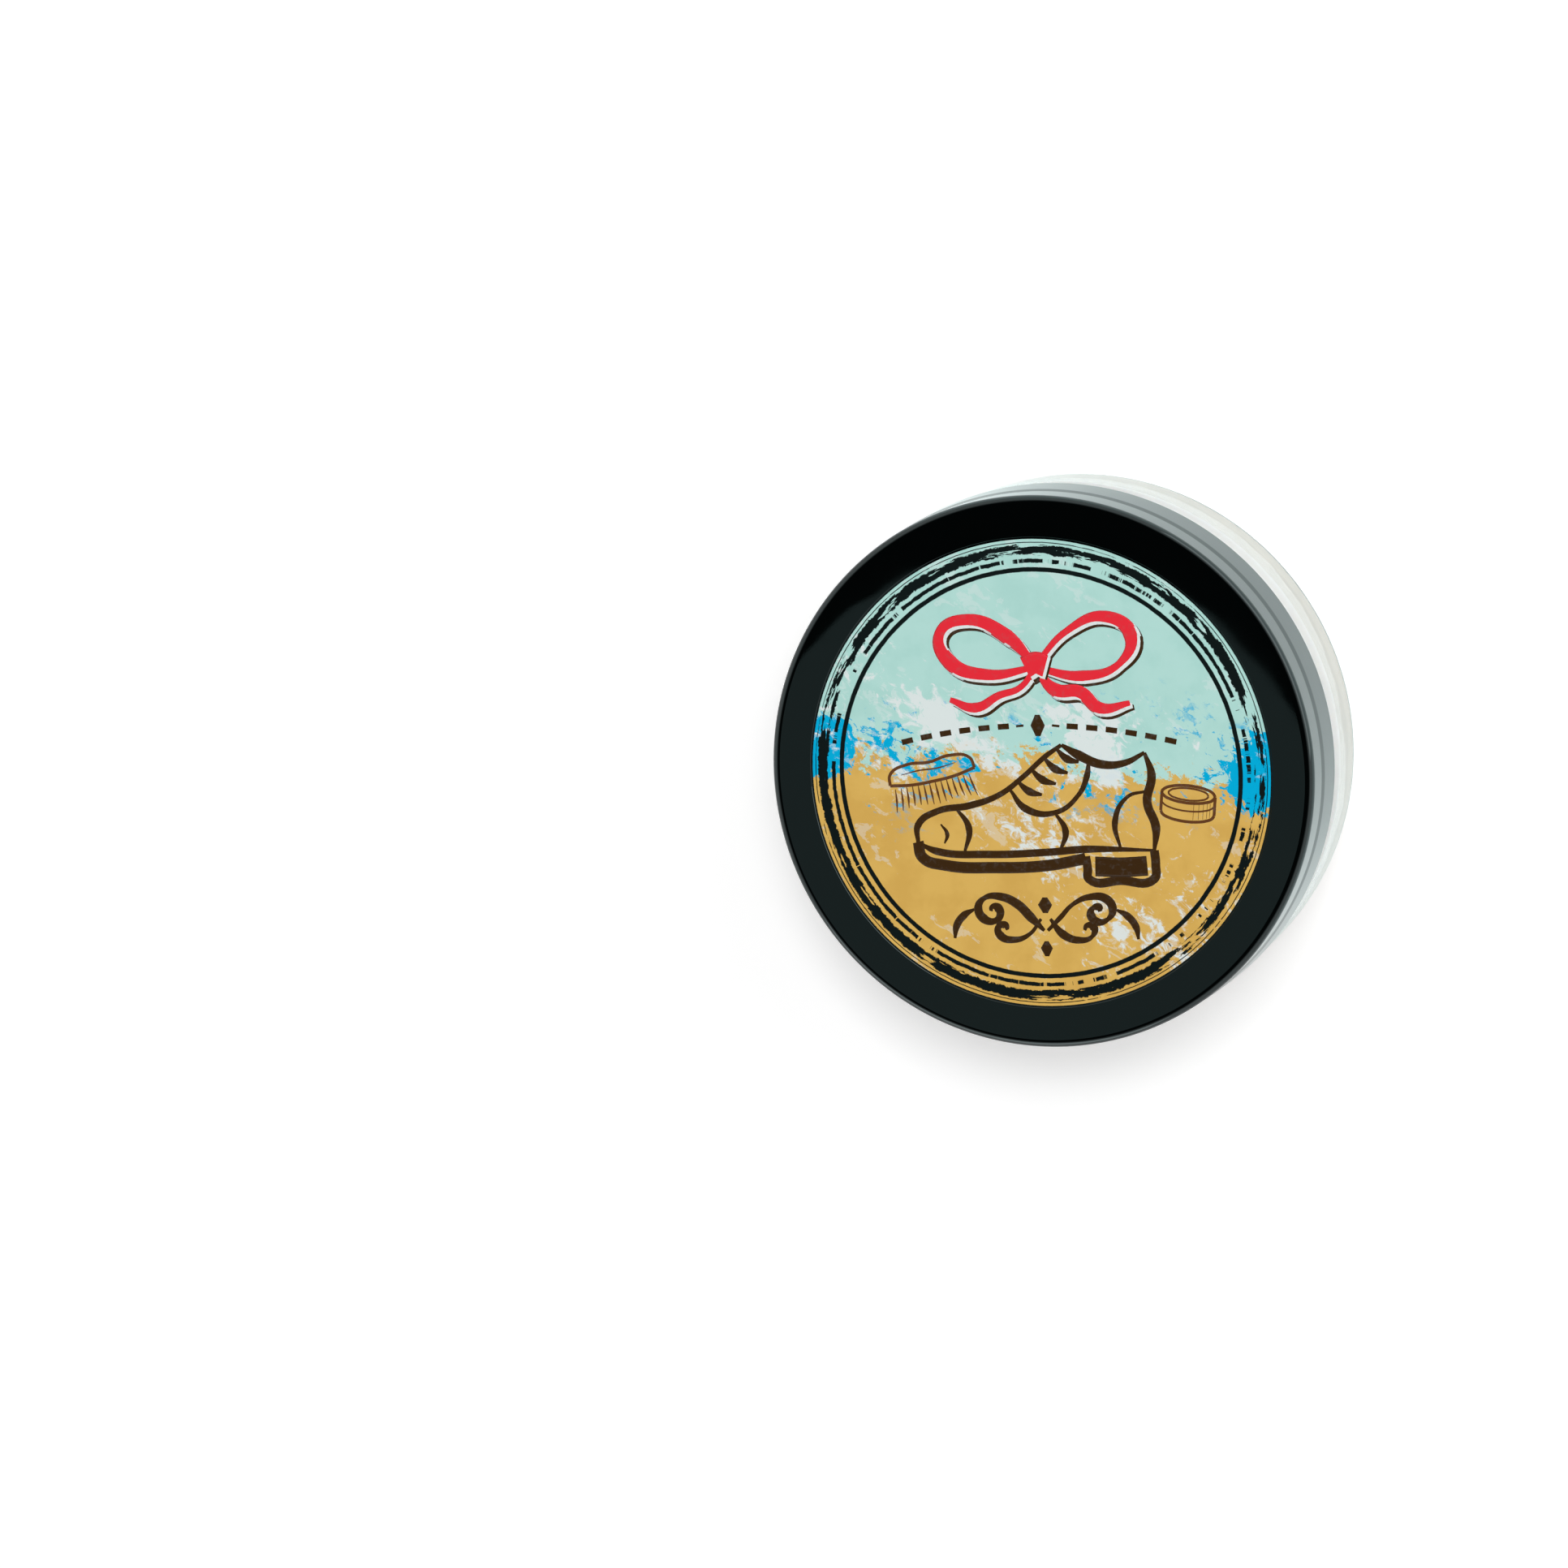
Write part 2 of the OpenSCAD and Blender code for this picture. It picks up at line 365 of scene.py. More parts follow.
def wall_gap(out, height):
    """How far the wax has shrunk from the wall at a height above the foot, in millimetres."""
    wave = FILM_LEVEL + 2.4 * noise.noise(out * 2.1) + 0.9 * noise.noise(out * 7)
    wave += 0.4 * noise.noise(out * 23)
    facing = out.x * LIT_SIDE[0] + out.y * LIT_SIDE[1]
    lit = eased(-0.5, 0.1, facing + 0.2 * noise.noise(out * 4))
    wetted = lit * eased(*WET_FROM, height) * eased(*WET_UP_TO, height)
    film = FILM_GAP * eased(wave, wave + 0.3, height) * (1 - wetted)
    crumple = eased(*CRUMPLED_FROM, height + 0.8 * noise.noise(out * 5))
    crumple *= eased(*CRUMPLED_UP_TO, height)
    crumple *= 1 - lit * eased(*CALM_UP_TO, height)
    folds = noise.noise(Vector((out.x * 6, out.y * 6, height / 1.3)))
    folds += 0.6 * noise.noise(Vector((out.x * 19, out.y * 19, height / 0.7 + 9)))
    pocket = eased(-0.25, 0.2, folds) * (0.75 + 0.5 * noise.noise(out * 31))
    return -CLING + film + crumple * FOLD_DEPTH * pocket


def stirred(spot, out, share):
    """Height of the wax's stirred top above its plane, in millimetres. Share is 1 at the wall."""
    swirl = math.atan2(out.y, out.x) + STIR_TURN * share
    stir = math.sin(3 * swirl) * 0.5 + math.sin(7 * swirl + 2) * 0.25
    height = STIR_HEIGHT * stir * eased(0, 0.3, share) * eased(1, 0.85, share)
    height += 0.2 * noise.noise(spot * 60) + 0.04 * noise.noise(spot * 420)
    climb = 0.4 + noise.noise(out * 4) + 0.6 * noise.noise(out * 17)
    height += 0.3 * eased(0.93, 1, share) * climb
    return height - STIR_SAG


def shape_wax(wax):
    """Works the turned wax: air gaps along the wall, a crumpled shoulder and a stirred top."""
    neck_in = NECK_RAD - JAR_WALL
    side_in, side_low = neck_in - 0.1 * MM, JAR_WALL + 0.5 * MM
    top_low = WAX_TOP - 0.6 * MM
    for vertex in wax.data.vertices:
        spot = vertex.co
        rad = math.hypot(spot.x, spot.y)
        if rad < 1e-6:
            continue
        out = Vector((spot.x / rad, spot.y / rad, 0))
        if rad > side_in and spot.z > side_low:
            spot -= out * wall_gap(out, spot.z / MM) * MM
        if spot.z > top_low:
            spot.z += stirred(spot, out, rad / neck_in) * MM


def make_wax():
    """Wax cast in the jar: turned in fine rings, then worked."""
    side = inside_side(14)
    fine_side = []
    for (rad, low), (next_rad, next_low) in zip(side, side[1:]):
        wide, rise = next_rad - rad, next_low - low
        parts = max(1, round(math.hypot(wide, rise) / WAX_SIDE_STEP))
        fine_side += [(rad + wide * i / parts, low + rise * i / parts) for i in range(parts)]
    neck_in, neck_foot = side[-1]
    edge = 0.3 * MM
    fine_side += [(neck_in, neck_foot + (WAX_TOP - edge - neck_foot) * i / 3) for i in range(4)]
    top_rad = neck_in - edge
    top = [(top_rad * (1 - i / WAX_RINGS), WAX_TOP) for i in range(WAX_RINGS)]
    outline = raised_floor(JAR_WALL + POINT_GAP) + fine_side + top + [(0, WAX_TOP)]
    wax = turned("wax_poured", outline, WAX_SIDES)
    shape_wax(wax)
    smooth(wax, 60)
    return wax


# ---------------------------------------------------------------- label print

# Strokes are (points, width, kind), in millimetres, with the label's middle at (0, 0). The kinds
# are even, tapered at both ends, and pen, which swells and thins as a broad slanted pen does.
INK_FLATNESS = 0.012
TAPER = 0.35
PEN_SLANT = math.radians(35)
PEN_THIN = 0.42


def pen_width(points, i):
    """Share of the full width that a broad, slanted pen leaves at a point of a stroke."""
    before, after = points[max(0, i - 1)], points[min(len(points) - 1, i + 1)]
    heading = math.atan2(after[1] - before[1], after[0] - before[0])
    return PEN_THIN + (1 - PEN_THIN) * abs(math.sin(heading - PEN_SLANT))


def ink_stroke(points, width, kind):
    """One stroke on the label's plane, as a bevelled curve through its points."""
    deselect()
    bpy.ops.curve.primitive_bezier_curve_add(location=(0, 0, 0))
    stroke = bpy.context.object
    spline = stroke.data.splines[0]
    spline.bezier_points.add(len(points) - 2)
    last = len(points) - 1
    for i, (knot, (x, y)) in enumerate(zip(spline.bezier_points, points)):
        knot.co = (x * MM, y * MM, 0)
        knot.handle_left_type = knot.handle_right_type = "AUTO"
        knot.radius = pen_width(points, i) if kind == "pen" else 1
        if kind != "even" and i in (0, last):
            knot.radius = TAPER
    curve = stroke.data
    curve.dimensions = "3D"
    curve.twist_mode = "Z_UP"
    curve.resolution_u = 8
    curve.bevel_depth = width * MM / 2
    curve.bevel_resolution = 2
    curve.use_fill_caps = True
    bpy.ops.object.convert(target="MESH")
    return bpy.context.object


def ink_layer(name, strokes, height, extra=0, offset=(0, 0)):
    """Prints strokes as one thin flat layer of ink at a height."""
    made = [ink_stroke(points, width + extra, kind) for points, width, kind in strokes]
    deselect()
    for stroke in made:
        stroke.select_set(True)
    bpy.context.view_layer.objects.active = made[0]
    bpy.ops.object.join()
    layer = bpy.context.object
    layer.name = name
    bpy.ops.transform.resize(value=(1, 1, INK_FLATNESS), center_override=(0, 0, 0))
    bpy.ops.transform.translate(value=(offset[0] * MM, offset[1] * MM, height))
    bpy.ops.object.transform_apply(location=True, rotation=True, scale=True)
    return layer


def placed(strokes, at=(0, 0), scale=1, turn=0):
    """Copies of strokes, scaled, turned by degrees and moved."""
    c, s = math.cos(math.radians(turn)) * scale, math.sin(math.radians(turn)) * scale
    return [
        ([(at[0] + c * x - s * y, at[1] + s * x + c * y) for x, y in points], width, kind)
        for points, width, kind in strokes
    ]


def mirrored(strokes):
    """Strokes and their copies on the other side of the label's upright middle line."""
    copies = [([(-x, y) for x, y in points], width, kind) for points, width, kind in strokes]
    return strokes + copies


def oval(centre, rx, ry, width, start=0, end=360, steps=14):
    """An even stroke along an oval, or along a part of it between two angles in degrees."""
    turns = [math.radians(start + (end - start) * i / steps) for i in range(steps + 1)]
    points = [(centre[0] + rx * math.cos(t), centre[1] + ry * math.sin(t)) for t in turns]
    return (points, width, "even")


# A lace tied in a bow: two loops, two tails and the knot.
LACE_BOW = [
    (
        [(0, 14.2), (-3.6, 17.9), (-8.9, 20.1), (-12.6, 18.3), (-11.4, 14.6), (-6.6, 12.9), (0, 13.9)],
        2.1,
        "pen",
    ),
    (
        [(0, 14.2), (4.4, 18.6), (9.6, 20.4), (12.9, 18.0), (11.2, 14.3), (6.2, 12.7), (0, 13.9)],
        2.1,
        "pen",
    ),
    ([(0, 13.8), (-2.2, 11.2), (-5.0, 10.2), (-8.2, 8.6), (-11.6, 9.7)], 2.0, "pen"),
    ([(0, 13.8), (2.6, 10.9), (5.8, 10.6), (8.4, 8.5), (12.4, 9.2)], 2.0, "pen"),
    ([(-1.3, 13.7), (0, 14.3), (1.3, 13.9)], 3.3, "even"),
]

# A bowed row of stitches on both sides of a lozenge.
STITCH_HALF = 0.75


def seam_spot(x):
    """A point of the bowed line along which the stitches run."""
    return (x, 6.3 - 0.0065 * x**2)


STITCHES = [
    ([seam_spot(x - STITCH_HALF), seam_spot(x + STITCH_HALF)], 0.75, "even")
    for x in (-17.6, -15.0, -12.4, -9.8, -7.2, -4.6, 4.6, 7.2, 9.8, 12.4, 15.0, 17.6)
] + [
    ([(0, 4.9), (0, 6.3), (0, 7.7)], 1.9, "tapered"),
    ([(-2.9, 6.2), (-1.9, 6.3)], 0.9, "tapered"),
    ([(1.9, 6.3), (2.9, 6.2)], 0.9, "tapered"),
]

# A laced shoe with its toe to the left, drawn with a broad pen.
SHOE = placed(
    [
        ([(-17, -5.3), (-14.6, -6.4), (-8, -6.8), (0, -6.5), (5, -6.1), (13.9, -6.2)], 1.0, "tapered"),
        ([(-17, -5.2), (-16.5, -7.2), (-13.6, -8.2), (-7, -8.5), (0, -8.2), (5, -7.3)], 1.5, "even"),
        (
            [(5, -7.0), (5.2, -8.6), (5.3, -9.9), (9.5, -10.1), (13.8, -9.9), (14.1, -8), (14.0, -6.2)],
            1.2,
            "even",
        ),
        ([(6.2, -8.3), (9.6, -8.4), (13, -8.2)], 2.6, "even"),
        (
            [(-17, -5.3), (-16.9, -3.0), (-14.2, -1.2), (-10, -0.5), (-6, 0.9), (-2.8, 3.2),
             (0.2, 5.8), (2.4, 7.3)],
            1.5,
            "pen",
        ),
        ([(2.4, 7.3), (4.6, 6.0), (7.6, 4.8), (10.6, 5.0), (13.2, 6.3)], 1.4, "pen"),
        ([(13.2, 6.3), (14.0, 3.4), (13.3, 0), (14.3, -3.2), (14.0, -6.2)], 1.3, "pen"),
        ([(-11.8, -0.8), (-10.2, -3.4), (-10.9, -6.6)], 1.0, "pen"),
        ([(-13.9, -2.9), (-13.1, -4.2), (-13.5, -5.4)], 0.6, "tapered"),
        ([(-4.6, 1.6), (-2.6, -0.9), (1.2, -1.4), (4.4, 0.9), (5.6, 3.4), (5.9, 5.4)], 1.1, "pen"),
        ([(1.2, -1.4), (2.5, -3.8), (1.7, -6.3)], 1.0, "pen"),
        ([(9.6, -6.0), (9.0, -2.6), (10.7, 0.6), (13.4, 1.4)], 1.0, "pen"),
        ([(-3.6, 2.7), (-2, 1.3), (-0.4, 0.9)], 1.1, "tapered"),
        ([(-1.8, 4.3), (-0.2, 2.8), (1.5, 2.3)], 1.1, "tapered"),
        ([(0.0, 5.7), (1.5, 4.2), (3.1, 3.7)], 1.1, "tapered"),
        ([(1.7, 6.8), (3.1, 5.5), (4.6, 5.1)], 1.1, "tapered"),
    ],
    (0.6, -3.7),
    1.02,
)

# A scrolled flourish with two lozenges.
FLOURISH = placed(
    mirrored(
        [
            (
                [(9.5, -14.3), (9.3, -13.6), (8.3, -13.7), (7.9, -14.9), (8.9, -16.0), (10.8, -15.6),
                 (11.7, -13.8), (10.6, -12.1), (7.8, -11.8), (4.8, -13.1), (2.6, -15.3), (0.3, -17.6)],
                1.3,
                "pen",
            ),
            (
                [(0.8, -15.6), (2.9, -18.2), (5.6, -19.2), (8.0, -18.5), (8.3, -17.0), (7.1, -16.7),
                 (6.7, -17.5)],
                1.2,
                "pen",
            ),
            ([(12.4, -14.0), (14.2, -15.0), (15.6, -16.8), (16.0, -19.0)], 1.0, "tapered"),
        ]
    )
    + [
        ([(0, -11.9), (0, -13.2), (0, -14.6)], 1.9, "tapered"),
        ([(0, -19.4), (0, -20.6), (0, -22)], 1.6, "tapered"),
    ],
    (0, -7.1),
    0.77,
)

# Thin drawings beside the shoe: a brush with its bristles, and a low round tin.
BRUSH = placed(
    [
        ([(-6, 0.2), (-5.6, 1.7), (-3, 2.5), (0, 2.2), (3, 2.5), (5.6, 1.7), (6, 0.2)], 0.42, "even"),
        ([(-6, 0.2), (-3, -0.3), (0, -0.4), (3, -0.3), (6, 0.2)], 0.42, "even"),
        ([(-4.2, 1.3), (-1.6, 1.4), (0.9, 1.2), (3.6, 1.4)], 0.22, "tapered"),
    ]
    + [
        ([(x, -0.4), (x * 1.04, -2.0), (x * 1.1, -3.3 - 0.2 * math.sin(9 * x))], 0.3, "tapered")
        for x in (-5.4, -4.6, -3.8, -3.0, -2.2, -1.4, -0.6, 0.2, 1.0, 1.8, 2.6, 3.4, 4.2, 5.0)
    ],
    (-14.4, -0.6),
    0.98,
    12,
)

SMALL_TIN = placed(
    [
        oval((0, 0.9), 3.6, 1.15, 0.4),
        oval((0, 0.9), 2.7, 0.8, 0.26),
        oval((0, -1.6), 3.6, 1.15, 0.4, 180, 360, 8),
        ([(-3.6, 0.9), (-3.6, -1.6)], 0.4, "even"),
        ([(3.6, 0.9), (3.6, -1.6)], 0.4, "even"),
        oval((0, -0.2), 3.6, 1.15, 0.24, 190, 350, 8),
    ]
    + [
        ([(x, 0.1 - 0.02 * x * x), (x, -2.5 + 0.06 * x * x)], 0.18, "tapered")
        for x in (0.8, 1.5, 2.1, 2.6, 3.0)
    ],
    (19.6, -3.6),
    0.98,
    -6,
)


# ---------------------------------------------------------------- materials


def wire(tree, value, socket):
    """Feeds a socket with another socket, or sets its own value."""
    if isinstance(value, bpy.types.NodeSocket):
        tree.links.new(value, socket)
    else:
        socket.default_value = value


def maths(tree, operation, *values, clamp=False):
    """One Math node on numbers or sockets."""
    node = tree.nodes.new("ShaderNodeMath")
    node.operation = operation
    node.use_clamp = clamp
    for value, socket in zip(values, node.inputs):
        wire(tree, value, socket)
    return node.outputs[0]


def ramp(tree, value, low, high, to_low=0.0, to_high=1.0):
    """A smooth step from one value to another, as the input goes from low to high."""
    node = tree.nodes.new("ShaderNodeMapRange")
    node.interpolation_type = "SMOOTHSTEP"
    names = ("Value", "From Min", "From Max", "To Min", "To Max")
    for name, item in zip(names, (value, low, high, to_low, to_high)):
        wire(tree, item, node.inputs[name])
    return node.outputs["Result"]


def scaled(tree, value, factor):
    return maths(tree, "MULTIPLY", value, factor)


def summed(tree, *values):
    """The sum of two or more values."""
    total = values[0]
    for value in values[1:]:
        total = maths(tree, "ADD", total, value)
    return total


def distance(tree, x, y):
    """Distance from the origin in a plane."""
    return maths(tree, "SQRT", summed(tree, scaled(tree, x, x), scaled(tree, y, y)))


def along(tree, x, y, heading):
    """Distance along a heading in a plane."""
    return summed(tree, scaled(tree, x, heading[0]), scaled(tree, y, heading[1]))


def mixed(tree, share, first, second):
    """Blends two colours."""
    node = tree.nodes.new("ShaderNodeMix")
    node.data_type = "RGBA"
    colour_sockets = (node.inputs[0], node.inputs[6], node.inputs[7])
    for value, socket in zip((share, first, second), colour_sockets):
        wire(tree, value, socket)
    return node.outputs[2]


def speckle(tree, place, scale, detail=4.0, roughness=0.6, distortion=0.0):
    """A noise between 0 and 1, with its scale in features per unit of the place."""
    node = tree.nodes.new("ShaderNodeTexNoise")
    wire(tree, place, node.inputs["Vector"])
    names = ("Scale", "Detail", "Roughness", "Distortion")
    for name, value in zip(names, (scale, detail, roughness, distortion)):
        wire(tree, value, node.inputs[name])
    return node.outputs["Fac"]


def bumped(tree, height, strength, depth):
    """A normal bent by a height, with the bump's depth in metres."""
    node = tree.nodes.new("ShaderNodeBump")
    wire(tree, height, node.inputs["Height"])
    node.inputs["Strength"].default_value = strength
    node.inputs["Distance"].default_value = depth
    return node.outputs["Normal"]


def millimetres(tree):
    """Object coordinates in millimetres."""
    coords = tree.nodes.new("ShaderNodeTexCoord")
    scale = tree.nodes.new("ShaderNodeMapping")
    scale.inputs["Scale"].default_value = (1000, 1000, 1000)
    tree.links.new(coords.outputs["Object"], scale.inputs["Vector"])
    return scale.outputs["Vector"]


def parts_of(tree, place):
    node = tree.nodes.new("ShaderNodeSeparateXYZ")
    tree.links.new(place, node.inputs[0])
    return node.outputs


def joined(tree, x, y, z):
    node = tree.nodes.new("ShaderNodeCombineXYZ")
    for value, socket in zip((x, y, z), node.inputs):
        wire(tree, value, socket)
    return node.outputs[0]


def slanted(tree, place, turn, scale):
    """A place turned about Z by degrees and then stretched, for a grain that runs one way."""
    turned_place = tree.nodes.new("ShaderNodeMapping")
    turned_place.inputs["Rotation"].default_value[2] = math.radians(turn)
    tree.links.new(place, turned_place.inputs["Vector"])
    grain = tree.nodes.new("ShaderNodeMapping")
    grain.inputs["Scale"].default_value = scale
    tree.links.new(turned_place.outputs["Vector"], grain.inputs["Vector"])
    return grain.outputs["Vector"]


def new_material(name, **settings):
    """A material with its Principled shader's own sockets set."""
    material = bpy.data.materials.new(name)
    material.use_nodes = True
    shader = material.node_tree.nodes["Principled BSDF"]
    for socket, value in settings.items():
        shader.inputs[socket.replace("_", " ")].default_value = value
    return material, material.node_tree, shader


FLECK_EDGE = 0.012


def worn_group():
    """Worn flecks: 1 where a print or a surface has flaked or rubbed away."""
    group = bpy.data.node_groups.new("worn_flecks", "ShaderNodeTree")
    inputs = {"Place": "NodeSocketVector", "Size": "NodeSocketFloat", "Amount": "NodeSocketFloat"}
    for name, kind in inputs.items():
        group.interface.new_socket(name, in_out="INPUT", socket_type=kind)
    group.interface.new_socket("Worn", in_out="OUTPUT", socket_type="NodeSocketFloat")
    source = group.nodes.new("NodeGroupInput").outputs
    result = group.nodes.new("NodeGroupOutput").inputs
    scale = maths(group, "DIVIDE", 1.0, source["Size"])
    coarse = speckle(group, source["Place"], scale, 6.0, 0.68, 0.6)
    patches = speckle(group, source["Place"], scaled(group, scale, 0.23), 2.0, 0.5)
    both = summed(group, scaled(group, coarse, 0.62), scaled(group, patches, 0.38))
    level = maths(group, "SUBTRACT", 0.72, scaled(group, source["Amount"], 0.4))
    group.links.new(ramp(group, both, level, summed(group, level, FLECK_EDGE)), result["Worn"])
    return group


def worn(tree, place, size, amount):
    """Worn flecks of a size in millimetres. More of the surface is worn as the amount grows."""
    node = tree.nodes.new("ShaderNodeGroup")
    node.node_tree = WORN
    wire(tree, place, node.inputs["Place"])
    wire(tree, size, node.inputs["Size"])
    wire(tree, amount, node.inputs["Amount"])
    return node.outputs["Worn"]


WORN = worn_group()

# Colours of the print.
MINT = (0.44, 0.705, 0.65, 1)
MINT_DEEP = (0.4, 0.67, 0.615, 1)
OCHRE = (0.69, 0.435, 0.108, 1)
OCHRE_DEEP = (0.635, 0.385, 0.09, 1)
PAPER_WHITE = (0.72, 0.78, 0.77, 1)
SKY_BLUE = (0.0, 0.4, 0.68, 1)
INK_BLACK = (0.004, 0.008, 0.008, 1)
INK_BROWN = (0.042, 0.019, 0.005, 1)
INK_SEPIA = (0.12, 0.045, 0.014, 1)
INK_RED = (0.78, 0.026, 0.042, 1)

# Colours of the plastics, the wax and the foam.
LID_BLACK = (0.0004, 0.0008, 0.0008, 1)
CLEAR_TINT = (0.975, 0.99, 0.99, 1)
CLEAR_SHADOW = (0.9, 0.92, 0.92, 1)
WAX_GREY = (0.6, 0.56, 0.505, 1)
WAX_GREY_DEEP = (0.565, 0.53, 0.475, 1)
# Painted light: a lighter wax colour for how the wax shows through the clear wall where it touches it.
WAX_PAINTED_WET_LOOK = (0.69, 0.64, 0.57, 1)
# Painted highlight: near-white laid on the wax's shoulder, most on the side that faces the key light.
WAX_PAINTED_HIGHLIGHT = (0.89, 0.885, 0.87, 1)
WAX_UPPER = (0.735, 0.655, 0.6, 1)
WAX_UPPER_DEEP = (0.69, 0.61, 0.55, 1)
WAX_CHALK = (0.8, 0.77, 0.72, 1)
FOAM_WHITE = (0.84, 0.84, 0.82, 1)
FOAM_WHITE_DEEP = (0.78, 0.775, 0.75, 1)

PRINT_SATIN = {"Roughness": 0.34, "Specular_IOR_Level": 0.18}

# Where the wax's colours begin and end, in millimetres: heights above the foot, and distances
# from the axis within which its top lies.
# Heights below which the wax is painted lighter where it touches the wall.
PAINTED_WET_LOOK_BELOW = (8.2, 7.6)
# Heights between which the painted highlight on the shoulder fades in.
PAINTED_HIGHLIGHT_ABOVE = (10.2, 11.4)
TOP_ABOVE = (15.4, 15.8)
TOP_WITHIN = (31.8, 31.4)

# Where the print's marks lie, in millimetres from the label's middle: each ring's inner and
# outer radius, and each spot's middle and reach.
RING_RAD = 29
BROAD_RING = (28.55, 29.85)
THIN_RING = (27.5, 28.02)
CRISP_RING = (26.35, 26.95)
HAIRLINE = (30.12, 30.24)
BLUE_RIGHT, BLUE_LEFT = ((29.5, -0.5), 10.0), ((-29.0, 3.5), 8.0)
RUBBED_RIGHT, RUBBED_LEFT = ((7.5, 4.5), 14.0), ((-13.0, 7.0), 11.0)
TRAIL_HEADING = (0.62, 0.78)


def torn_edge(tree, place, x, y):
    """Height above the torn line where the mint paper ends and the ochre begins."""
    drift = maths(tree, "SUBTRACT", speckle(tree, place, 0.09, 2.0, 0.5), 0.5)
    grain = slanted(tree, place, 30, (1, 1.35, 1))
    torn = maths(tree, "SUBTRACT", speckle(tree, grain, 0.42, 9.0, 0.74, 0.3), 0.5)
    tilted = summed(tree, y, scaled(tree, x, 0.05))
    return summed(tree, tilted, scaled(tree, drift, 9), scaled(tree, torn, 21), -1.2)


def ring_mask(tree, rad, span, soft=0.04):
    """1 inside a ring's span of radii."""
    low, high = span
    rise = ramp(tree, rad, low - soft, low + soft)
    return scaled(tree, rise, ramp(tree, rad, high + soft, high - soft))


def worn_rings(tree, x, y, rad):
    """A broad brushed ring with hairlines outside it, a thin broken ring and a crisp one."""
    around_x = scaled(tree, maths(tree, "DIVIDE", x, rad), RING_RAD)
    around_y = scaled(tree, maths(tree, "DIVIDE", y, rad), RING_RAD)
    brushed = joined(tree, around_x, around_y, scaled(tree, rad, 7.0))
    ragged = joined(tree, around_x, around_y, scaled(tree, rad, 1.1))
    patches = speckle(tree, joined(tree, around_x, around_y, 7.0), 0.06, 2.0, 0.5)
    patches = ramp(tree, patches, 0.4, 0.66)
    wobble = maths(tree, "SUBTRACT", speckle(tree, ragged, 0.75, 7.0, 0.72), 0.5)
    wobble = scaled(tree, wobble, 1.35)
    # The broad ring, worn along the brush's way.
    level = summed(tree, 0.36, scaled(tree, patches, 0.13))
    kept = ramp(tree, speckle(tree, brushed, 0.2, 5.0, 0.62), level, summed(tree, level, 0.012))
    broad = scaled(tree, ring_mask(tree, summed(tree, rad, wobble), BROAD_RING), kept)
    # The thin ring, broken into dashes.
    dashes = speckle(tree, joined(tree, around_x, around_y, 3.0), 0.4, 6.0, 0.72)
    dash_level = summed(tree, 0.38, scaled(tree, patches, 0.16))
    dash_kept = ramp(tree, dashes, dash_level, summed(tree, dash_level, 0.02))
    slight = summed(tree, rad, scaled(tree, wobble, 0.4))
    thin = scaled(tree, ring_mask(tree, slight, THIN_RING), dash_kept)
    # The hairlines, and the crisp ring.
    hair_kept = scaled(tree, maths(tree, "SUBTRACT", 1.0, dash_kept), patches)
    hair = maths(tree, "MAXIMUM", kept, hair_kept)
    fine = summed(tree, rad, scaled(tree, wobble, 0.12))
    hairline = scaled(tree, ring_mask(tree, fine, HAIRLINE, 0.03), hair)
    crisp = ring_mask(tree, summed(tree, rad, scaled(tree, wobble, 0.13)), CRISP_RING)
    rings = maths(tree, "ADD", summed(tree, broad, thin), crisp, clamp=True)
    return maths(tree, "MAXIMUM", rings, hairline)


def near(tree, x, y, spot, reach):
    """1 at a spot on the label, falling to 0 at a reach from it."""
    off_x = maths(tree, "SUBTRACT", x, spot[0])
    off_y = maths(tree, "SUBTRACT", y, spot[1])
    return ramp(tree, distance(tree, off_x, off_y), reach, 0.0)


def blue_dabbed(tree, place, x, y, edge, colour):
    """Blue dabs where the two grounds meet, and stronger ones at both sides of the rim."""
    near_edge = ramp(tree, maths(tree, "ABSOLUTE", summed(tree, edge, -0.6)), 8.5, 2.5)
    dabs = scaled(tree, worn(tree, slanted(tree, place, 24, (1, 1.5, 1)), 2.4, 0.4), near_edge)
    colour = mixed(tree, dabs, colour, SKY_BLUE)
    right, left = near(tree, x, y, *BLUE_RIGHT), near(tree, x, y, *BLUE_LEFT)
    amount = scaled(tree, maths(tree, "MAXIMUM", right, left), 1.25)
    strong = worn(tree, slanted(tree, place, 60, (1, 1.7, 1)), 1.7, amount)
    return mixed(tree, strong, colour, SKY_BLUE)


def white_flaked(tree, place, x, y, colour):
    """White flakes with a pale halo: two rubbed places, a trail across the label and strays."""
    right = scaled(tree, near(tree, x, y, *RUBBED_RIGHT), 0.68)
    left = scaled(tree, near(tree, x, y, *RUBBED_LEFT), 0.65)
    off_trail = maths(tree, "ABSOLUTE", summed(tree, along(tree, x, y, TRAIL_HEADING), 5.0))
    trail = ramp(tree, off_trail, 16.0, 3.0, 0.1, 0.4)
    amount = maths(tree, "MAXIMUM", maths(tree, "MAXIMUM", right, left), trail)
    flaked = slanted(tree, place, 40, (1, 1.4, 1))
    halo = worn(tree, flaked, 2.1, summed(tree, amount, 0.08))
    colour = mixed(tree, scaled(tree, halo, 0.38), colour, PAPER_WHITE)
    flakes = worn(tree, flaked, 2.1, amount)
    colour = mixed(tree, scaled(tree, flakes, 0.9), colour, PAPER_WHITE)
    faint = worn(tree, slanted(tree, place, 30, (1, 1.8, 1)), 3.0, 0.36)
    return mixed(tree, scaled(tree, faint, 0.3), colour, PAPER_WHITE)


